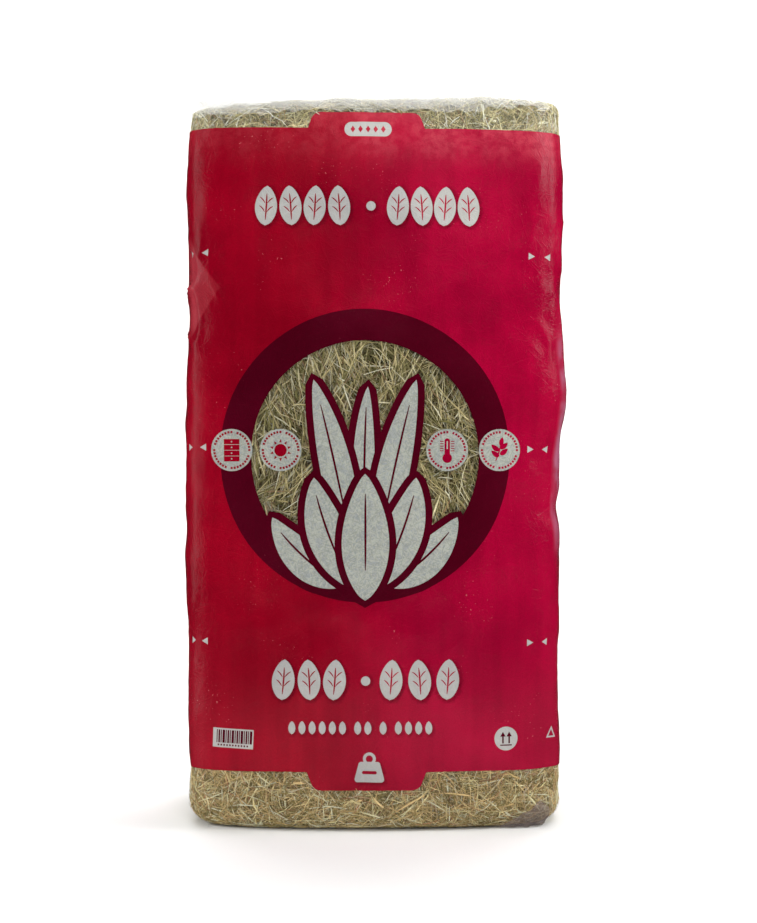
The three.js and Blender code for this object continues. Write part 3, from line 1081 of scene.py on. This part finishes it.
class Shader:
    """A node material with one Principled surface."""

    def __init__(self, name, **plain):
        self.material = bpy.data.materials.new(name)
        self.material.use_nodes = True
        self.tree = self.material.node_tree
        self.surface = self.tree.nodes["Principled BSDF"]
        for socket, value in plain.items():
            self.surface.inputs[socket.replace("_", " ")].default_value = value

    def node(self, kind, inputs=(), **settings):
        node = self.tree.nodes.new("ShaderNode" + kind)
        for key, value in settings.items():
            setattr(node, key, value)
        for key, value in dict(inputs).items():
            self.put(node.inputs[key], value)
        return node

    def put(self, socket, value):
        if isinstance(value, bpy.types.NodeSocket):
            self.tree.links.new(value, socket)
        else:
            socket.default_value = value

    def attribute(self, name, output="Vector"):
        return self.node("Attribute", attribute_name=name).outputs[output]

    def show(self, name, value):
        """Gives the surface a value or the result of a node."""
        self.put(self.surface.inputs[name], value)

    def maths(self, operation, a, b=0.0):
        node = self.node("Math", {0: a, 1: b}, operation=operation)
        return node.outputs[0]

    def times(self, first, *others):
        for other in others:
            first = self.maths("MULTIPLY", first, other)
        return first

    def scaled(self, vector, amount):
        inputs = {0: vector, "Scale": amount}
        return self.node("VectorMath", inputs, operation="SCALE").outputs[0]

    def tinted(self, colour, tint):
        return self.mix(1.0, colour, tint, blend="MULTIPLY")

    def mix(self, share, a, b, blend="MIX"):
        node = self.node("Mix", data_type="RGBA", blend_type=blend)
        colours = [s for s in node.inputs if s.type == "RGBA"]
        self.put(node.inputs[0], share)
        for socket, value in zip(colours, (a, b)):
            if not isinstance(value, bpy.types.NodeSocket):
                value = (*value[:3], 1.0)
            self.put(socket, value)
        return [s for s in node.outputs if s.type == "RGBA"][0]

    def noise(self, vector, scale, detail=2.0, roughness=0.5, output="Fac"):
        inputs = {"Vector": vector, "Scale": scale, "Detail": detail, "Roughness": roughness}
        return self.node("TexNoise", inputs).outputs[output]

    def spread(self, value, low, high, to_low=0.0, to_high=1.0, smooth=True):
        kind = "SMOOTHSTEP" if smooth else "LINEAR"
        inputs = {"Value": value, "From Min": low, "From Max": high,
                  "To Min": to_low, "To Max": to_high}
        return self.node("MapRange", inputs, interpolation_type=kind).outputs[0]

    def turned(self, vector, angle, scale, place=(0, 0, 0)):
        inputs = {"Vector": vector, "Rotation": (0, 0, angle)}
        turned = self.node("Mapping", inputs).outputs[0]
        inputs = {"Vector": turned, "Scale": scale, "Location": place}
        return self.node("Mapping", inputs).outputs[0]

    def ramp(self, value, stops):
        node = self.node("ValToRGB", {"Fac": value})
        ramp = node.color_ramp
        while len(ramp.elements) < len(stops):
            ramp.elements.new(1.0)
        for element, (place, colour) in zip(ramp.elements, stops):
            element.position = place
            element.color = (*colour[:3], 1.0)
        return node.outputs["Color"]

    def streaks(self, vector, count, length, width, seed, low=0.56, high=0.74):
        """Fine lines that cross in many directions, as stalks pressed against the film."""
        total = None
        for i in range(count):
            angle = math.pi * (i + 0.37) / count
            scale = (1 / length, 1 / width, 1)
            place = (seed * 3.7 + i * 11.3, seed * 1.9 + i * 7.1, 0)
            lines = self.noise(self.turned(vector, angle, scale, place), 1.0, 1.0)
            lines = self.spread(lines, low, high)
            total = lines if total is None else self.maths("MAXIMUM", total, lines)
        return total

    def bump(self, height, distance, normal=None):
        inputs = {"Height": height, "Distance": distance, "Strength": 1.0}
        if normal is not None:
            inputs["Normal"] = normal
        return self.node("Bump", inputs).outputs[0]

    def wandering(self, vector, scale, reach):
        """The same places, pushed about a little so that straight lines bend."""
        push = {0: self.noise(vector, scale, 1.0, output="Color"), 1: (0.5, 0.5, 0.5)}
        centred = self.node("VectorMath", push, operation="SUBTRACT").outputs[0]
        inputs = {0: vector, 1: self.scaled(centred, reach)}
        return self.node("VectorMath", inputs, operation="ADD").outputs[0]


def ink_material(name, colour, deep, roughness, specular):
    """Ink on film, with the faint lines of the stalks pressed against it and a cloudy tone."""
    shader = Shader(name, Roughness=roughness, IOR=1.48, Specular_IOR_Level=specular)
    place = shader.attribute("unrolled")
    bent = shader.wandering(place, 18.0, 0.012)
    lines = shader.streaks(bent, 6, 0.030, 0.0024, 1)
    fine = shader.streaks(bent, 5, 0.014, 0.0011, 2, 0.52, 0.72)
    cloud = shader.noise(place, 9.0, 3.0)
    tone = shader.mix(shader.spread(cloud, 0.35, 0.68), linear(*deep), linear(*colour))
    pressed = shader.maths("ADD", shader.times(lines, 0.16), shader.times(fine, 0.10))
    tone = shader.mix(pressed, tone, shader.tinted(tone, (1.45, 1.45, 1.45)))
    shader.show("Roughness", shader.spread(cloud, 0.3, 0.7, roughness - 0.05, roughness + 0.07))
    relief = shader.bump(fine, 0.00005, shader.bump(lines, 0.00012))
    shader.show("Normal", shader.bump(shader.noise(place, 330.0), 0.00006, relief))
    return shader, place, tone


def worn(shader, place, tone, wear, share):
    """Small specks, in patches, where the ink has rubbed off."""
    patch = shader.spread(shader.noise(place, 14.0), 0.52, 0.68)
    specks = shader.spread(shader.noise(place, 420.0, roughness=0.6), 0.67, 0.73)
    return shader.mix(shader.times(patch, specks, share), tone, linear(*wear))


def painted_sheen_on_red(shader, place, across, height, face_turn):
    """How much painted highlight and sheen lighten the red: in scallops along its upper edge, low
    on the face, on the upper tab, and on a fold at the left edge.
    """
    # Painted highlights along the hay's upper edge, in upright scallops.
    scallops = shader.noise(shader.turned(place, 0.0, (42, 9, 1)), 1.0, 1.0)
    mottled = shader.noise(place, 95.0, 3.0, 0.6)
    upper = shader.times(
        shader.spread(height, 0.665, 0.708), shader.spread(face_turn, -0.7, 0.2, 0.030, 0.085),
        shader.spread(scallops, 0.35, 0.62, 0.6, 1.3), shader.spread(mottled, 0.38, 0.62, 0.6, 1.5))
    # Painted light low on the face, and a painted highlight on the upper tab.
    lower = shader.spread(height, 0.200, 0.100, 0.0, 0.022)
    tab = shader.spread(height, 0.712, 0.726, 0.0, 0.05)
    # A painted highlight on a fold at the left edge, whose right side is drawn in to a point.
    below = shader.maths("ABSOLUTE", shader.maths("SUBTRACT", height, 0.551))
    slanted = shader.maths("ADD", across, shader.times(below, 0.75))
    fold = shader.times(
        shader.spread(slanted, -0.1560, -0.1595), shader.spread(across, -0.215, -0.190),
        shader.spread(below, 0.060, 0.030), shader.spread(across, -0.165, -0.192, 0.04, 0.13))
    return shader.maths("ADD", shader.maths("ADD", upper, lower), shader.maths("ADD", tab, fold))


def red_ink():
    """Red ink with painted shading: it turns from darker deep red at the left of each face to
    lighter crimson at its right, where more light falls.
    """
    shader, place, tone = ink_material("red_ink", (139, 1, 26), (120, 1, 21), 0.20, 0.12)
    parts = shader.node("SeparateXYZ", {"Vector": place})
    across, height = parts.outputs["X"], parts.outputs["Y"]
    face_turn = shader.maths("SINE", shader.times(across, 2 * math.pi / HALF_TURN))
    # Painted shading: darker red at the left of each face, and lighter crimson at its right.
    painted_shade_red, painted_lit_red = (shader.tinted(tone, tint) for tint in ((0.92, 1.0, 0.95), (1.16, 1.6, 2.4)))
    tone = shader.mix(shader.spread(face_turn, -0.9, 1.0), painted_shade_red, painted_lit_red)
    # Painted highlights and sheen lighten the red towards pale pink.
    tone = shader.mix(painted_sheen_on_red(shader, place, across, height, face_turn),
                      tone, linear(255, 122, 134))
    streaks = shader.noise(shader.turned(place, 0.0, (75, 5, 1), (3, 5, 0)), 1.0)
    grain = shader.noise(place, 800.0, 1.0)
    for pattern, change in ((streaks, 0.06), (grain, 0.08)):
        tone = shader.scaled(tone, shader.spread(pattern, 0.3, 0.7, 1 - change, 1 + change))
    tone = worn(shader, place, tone, (206, 130, 130), 0.6)
    # Painted reflection: where the sleeve turns on to its sides, a pale lilac sheen lies over the
    # ink.
    painted_edge_sheen = shader.times(
        shader.spread(across, 0.189, 0.200), shader.spread(across, 0.226, 0.212),
        shader.times(shader.spread(height, 0.26, 0.33), shader.spread(height, 0.56, 0.44)),
        shader.spread(shader.noise(place, 32.0), 0.38, 0.62, 0.1, 0.45))
    tone = shader.mix(painted_edge_sheen, tone, linear(165, 125, 152))
    shadow = shader.times(shader.attribute("shade", "Fac"), 0.85)
    shader.show("Base Color", shader.mix(shadow, tone, linear(70, 2, 16)))
    return shader.material


def plain_ink(name, colour, deep, roughness, specular, wear, share):
    """Ink of one colour, with worn specks."""
    shader, place, tone = ink_material(name, colour, deep, roughness, specular)
    shader.show("Base Color", worn(shader, place, tone, wear, share))
    return shader.material


def pale_ink():
    """Thin pale ink, through which the hay behind shows faintly."""
    shader, place, tone = ink_material(
        "pale_ink", (143, 147, 147), (133, 138, 139), 0.26, 0.2)
    bent = shader.wandering(place, 25.0, 0.010)
    straw = shader.streaks(bent, 5, 0.018, 0.0017, 5, 0.50, 0.66)
    gaps = shader.streaks(bent, 4, 0.010, 0.0016, 6, 0.55, 0.70)
    tone = shader.mix(shader.times(straw, 0.55), tone, linear(176, 177, 160))
    shader.show("Base Color", shader.mix(shader.times(gaps, 0.45), tone, linear(116, 120, 110)))
    return shader.material


def clear_film(name, alpha, tint, roughness, ior, relief):
    """Clear film: a weak, smooth reflection over what lies behind, with pressed-in lines."""
    shader = Shader(name, Roughness=roughness, IOR=ior, Alpha=alpha)
    shader.show("Base Color", (*tint, 1.0))
    bent = shader.wandering(shader.attribute("unrolled"), 18.0, 0.012)
    shader.show("Normal", shader.bump(shader.streaks(bent, 4, 0.028, 0.0028, 3), relief))
    return shader.material


def stalk_material(name, gain, near, deep):
    """Dry stalk: straw to grey-green and brown, with long fibres, and painted shade that darkens
    the stalks lying deeper.
    """
    shader = Shader(name, Roughness=0.62, IOR=1.45, Specular_IOR_Level=0.3)
    straws = (
        (0.00, (112, 104, 62)), (0.16, (146, 140, 90)), (0.34, (178, 164, 114)),
        (0.54, (206, 188, 138)), (0.74, (232, 214, 168)), (0.90, (250, 240, 206)),
        (0.96, (176, 140, 102)), (1.00, (140, 108, 80)),
    )
    stops = [(place, [min(c * g, 0.86) for c, g in zip(linear(*straw), gain)])
             for place, straw in straws]
    colour = shader.ramp(shader.attribute("tone", "Fac"), stops)
    grain = shader.attribute("grain")
    fibres = shader.noise(shader.turned(grain, 0.0, (90, 2400, 1)), 1.0)
    darker = shader.tinted(colour, (0.55, 0.55, 0.50))
    colour = shader.mix(shader.spread(fibres, 0.35, 0.7, 0.0, 0.35), colour, darker)
    blotch = shader.noise(shader.turned(grain, 0.0, (70, 70, 1)), 1.0)
    greener = shader.tinted(colour, (0.66, 0.80, 0.72))
    colour = shader.mix(shader.spread(blotch, 0.55, 0.8, 0.0, 0.60), colour, greener)
    # Painted shade: the deeper a stalk lies, the darker its colour, from near to deep.
    shaded = shader.spread(shader.attribute("layer", "Fac"), 0.0, 1.0, near, deep, smooth=False)
    shader.show("Base Color", shader.scaled(colour, shaded))
    shader.show("Roughness", shader.spread(fibres, 0.2, 0.8, 0.5, 0.72))
    shader.show("Normal", shader.bump(fibres, 0.00008))
    return shader.material


def pressed_hay_material(name, gap, low, strand):
    """The mass between the stalks: crossing strands over dark gaps, hay colour darkened with
    painted shade.
    """
    shader = Shader(name, Roughness=0.85, IOR=1.4, Specular_IOR_Level=0.2)
    place = shader.node("TexCoord").outputs["Object"]
    bent = shader.wandering(place, 22.0, 0.01)
    total = None
    for i, turn in enumerate(((0, 0.0, 0.4), (0.3, 0.5, 1.2), (0, 0.2, 2.0), (0.5, 0, 2.8))):
        turned = shader.node("Mapping", {"Vector": bent, "Rotation": turn}).outputs[0]
        inputs = {"Vector": turned, "Scale": (34, 560, 560), "Location": (i * 5.1, i * 3.3, i)}
        fine = shader.node("Mapping", inputs).outputs[0]
        lines = shader.spread(shader.noise(fine, 1.0, 1.0), 0.5, 0.72)
        total = lines if total is None else shader.maths("MAXIMUM", total, lines)
    # Painted shade: the gaps behind the strands take the dark gap colours.
    dark = shader.mix(shader.noise(place, 60.0), linear(*gap), linear(*low))
    shader.show("Base Color", shader.mix(total, dark, linear(*strand)))
    shader.show("Normal", shader.bump(total, 0.0012))
    return shader.material


# ---------------------------------------------------------------- stage

MIDDLE_OF_BALE = (0, 0, 0.4)
# Name, place, what it is turned to, size, watts, and whether the film mirrors it.
LIGHTS = (
    ("overhead", (0.08, -0.19, 1.00), (0.08, -0.12, 0.7), (0.8, 0.3), 2.1, True),
    ("upper_strip", (0.15, -0.50, 0.74), (0.10, -0.134, 0.68), (0.8, 0.12), 0.9, False),
    ("front_high", (0.25, -1.90, 1.45), (0.05, -0.13, 0.70), (0.6, 0.25), 9.2, False),
    ("front_fill", (0.3, -3.6, 1.7), (0, 0, 0.45), (1.6, 1.2), 22, False),
    ("foot_light", (0, -0.62, 0.03), (0, -0.12, 0.05), (0.7, 0.06), 1.05, False),
    ("right_box", (1.5, -0.22, 1.15), MIDDLE_OF_BALE, (0.5, 1.0), 9, True),
    ("right_fill", (1.5, -0.22, 1.10), MIDDLE_OF_BALE, (0.5, 1.0), 11, False),
    ("left_box", (-1.8, -0.20, 0.7), MIDDLE_OF_BALE, (0.7, 1.5), 9, True),
    ("left_fill", (-1.8, -0.20, 0.6), MIDDLE_OF_BALE, (0.7, 1.5), 16, False),
    ("backdrop_light", (0.0, 1.5, 2.6), (0, 1.6, 0), (3.0, 1.0), 95, True),
)
ROOM_LIGHT, ROOM_SEEN = 0.02, 0.87  # how bright the room is to the bale and to the camera


def area_light(name, place, target, size, power, glossy):
    data = bpy.data.lights.new(name, "AREA")
    data.shape = "RECTANGLE"
    data.size, data.size_y = size
    data.energy = power
    light = bpy.data.objects.new(name, data)
    light.visible_camera = False
    light.visible_glossy = glossy
    light.location = place
    light.rotation_mode = "QUATERNION"
    direction = Vector(target) - Vector(place)
    light.rotation_quaternion = direction.to_track_quat("-Z", "Y")
    bpy.context.scene.collection.objects.link(light)


def sweep():
    """A pale floor that curves up into a backdrop behind the bale."""
    radius, near, back, half, top = 1.2, -3.0, 1.7, 3.2, 5.0
    profile = [(near, 0.0), (back, 0.0)]
    for i in range(1, 25):
        angle = math.pi / 2 * i / 24
        profile.append((back + radius * math.sin(angle), radius * (1 - math.cos(angle))))
    profile.append((back + radius, top))
    points = [(x, y, z) for y, z in profile for x in (-half, half)]
    floor = mesh_object("floor", np.array(points), [grid_quads(len(profile), 2)])
    shader = Shader("pale_floor", Roughness=0.7, IOR=1.3)
    cloud = shader.noise(shader.node("TexCoord").outputs["Object"], 3.0)
    shader.show("Base Color", shader.mix(cloud, linear(243, 243, 242), linear(246, 246, 245)))
    floor.data.materials.append(shader.material)
    floor.visible_glossy = False


def set_camera():
    data = bpy.data.cameras.new("camera")
    data.lens = LENS
    data.sensor_width = 36
    camera = bpy.data.objects.new("camera", data)
    camera.location = (CAMERA_SIDE, -HALF_DEPTH - FRONT_DISTANCE, CAMERA_HEIGHT)
    camera.rotation_euler = (math.pi / 2, 0, 0)
    bpy.context.scene.collection.objects.link(camera)
    bpy.context.scene.camera = camera


def set_lights():
    scene = bpy.context.scene
    scene.view_settings.view_transform = "Standard"
    world = bpy.data.worlds.new("studio")
    world.use_nodes = True
    nodes, links = world.node_tree.nodes, world.node_tree.links
    surround = nodes["Background"]
    surround.inputs["Color"].default_value = (1.0, 1.0, 1.0, 1.0)
    # The room beyond the floor looks pale, and lights the bale only faintly.
    seen = nodes.new("ShaderNodeLightPath").outputs["Is Camera Ray"]
    strength = nodes.new("ShaderNodeMapRange")
    strength.inputs["To Min"].default_value = ROOM_LIGHT
    strength.inputs["To Max"].default_value = ROOM_SEEN
    links.new(seen, strength.inputs["Value"])
    links.new(strength.outputs["Result"], surround.inputs["Strength"])
    scene.world = world
    for light in LIGHTS:
        area_light(*light)


# ---------------------------------------------------------------- the bale

def dress(piece, material, slot, *nodes):
    """Gives a piece its material and its place in the frame."""
    piece.data.materials.append(material)
    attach(piece, "root")
    if nodes:
        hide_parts(*nodes)


# Clear films: alpha, tint, roughness, index of refraction and relief.
CLEAR_FILMS = {
    "window_film": (0.12, (0.03, 0.03, 0.03), 0.12, 2.2, 0.00025),
    "top_film": (0.12, (0.30, 0.30, 0.29), 0.16, 2.2, 0.00030),
    "foot_film": (0.08, (0.20, 0.18, 0.15), 0.16, 1.8, 0.00030),
    "folded_film": (0.14, (0.75, 0.75, 0.75), 0.25, 2.0, 0.00030),
    "loose_film": (0.45, (0.62, 0.60, 0.58), 0.22, 1.9, 0.00030),
    "gathered_film": (0.21, (0.82, 0.82, 0.78), 0.35, 1.5, 0.00030),
    "slack_film": (0.50, (0.22, 0.17, 0.155), 0.24, 1.7, 0.00030),
}


def build_film_bag():
    maroon = plain_ink("dark_ink", (71, 1, 20), (62, 1, 16), 0.20, 0.12, (140, 60, 70), 0.5)
    pale = pale_ink()
    white = plain_ink(
        "white_ink", (163, 162, 158), (154, 153, 151), 0.26, 0.2, (120, 90, 90), 0.6)
    inks = {
        "red": (red_ink(), "printed_film"), "maroon": (maroon, "dark_print"),
        "pale": (pale, "pale_print"), "white": (white, "pale_print"),
    }
    clear = {name: clear_film(name, *look) for name, look in CLEAR_FILMS.items()}
    film = film_pieces()
    for name, (ink, slot) in inks.items():
        dress(film[f"printed_film_{name}"], ink, slot, "film_sleeve")
    dress(film["window_film"], clear["window_film"], "clear_film", "film_sleeve")
    top_folds = gusset_folds("top_gusset_folds", FILM_HEIGHT - 0.0006, 0.016, 1)
    bottom_folds = gusset_folds("bottom_gusset_folds", 0.0006, 0.024, -1)
    for piece, look, *nodes in (
        (film["bottom_clear_film"], "foot_film", "bottom_end_film"),
        (film["top_clear_film"], "top_film", "top_end_film"),
        (top_fin(), "loose_film", "top_weld_fin"),
        (bottom_fin(), "loose_film", "bottom_weld_fin"),
        (top_folds, "folded_film", "top_end_film"),
        (bottom_folds, "folded_film", "bottom_end_film"),
        (slack_corner(), "slack_film"),
        (top_edge_film(), "gathered_film"),
    ):
        dress(piece, clear[look], "clear_film", *nodes)


def build_hay():
    mass = pressed_hay_material("pressed_hay", (30, 20, 12), (54, 43, 25), (128, 114, 76))
    # The foot's pressed hay is a lighter copy: painted light from the floor on the foot.
    painted_lit_foot_mass = pressed_hay_material("painted_lit_foot_hay", (96, 80, 52), (120, 102, 68), (176, 154, 110))
    # Lit and shaded copies of one stalk material by place: painted shade darkens the deeper stalks,
    # least at the foot, under painted light from the floor, and most behind the window.
    looks = {
        "top": stalk_material("dry_stalk", (1.20, 1.22, 1.24), 1.05, 0.40),
        "foot": stalk_material("foot_stalk", (1.30, 1.13, 1.04), 1.0, 0.60),
        "window": stalk_material("window_stalk", (1.10, 1.12, 1.09), 1.05, 0.18),
    }
    pieces = hay_pieces()
    for index, block in enumerate(pieces["blocks"]):
        dress(block, mass if index else painted_lit_foot_mass, "hay", f"hay_portion_{index + 1}")
    for place, look in looks.items():
        for piece in pieces[place]:
            dress(piece, look, "hay")


set_camera()
set_lights()
sweep()
build_film_bag()
build_hay()
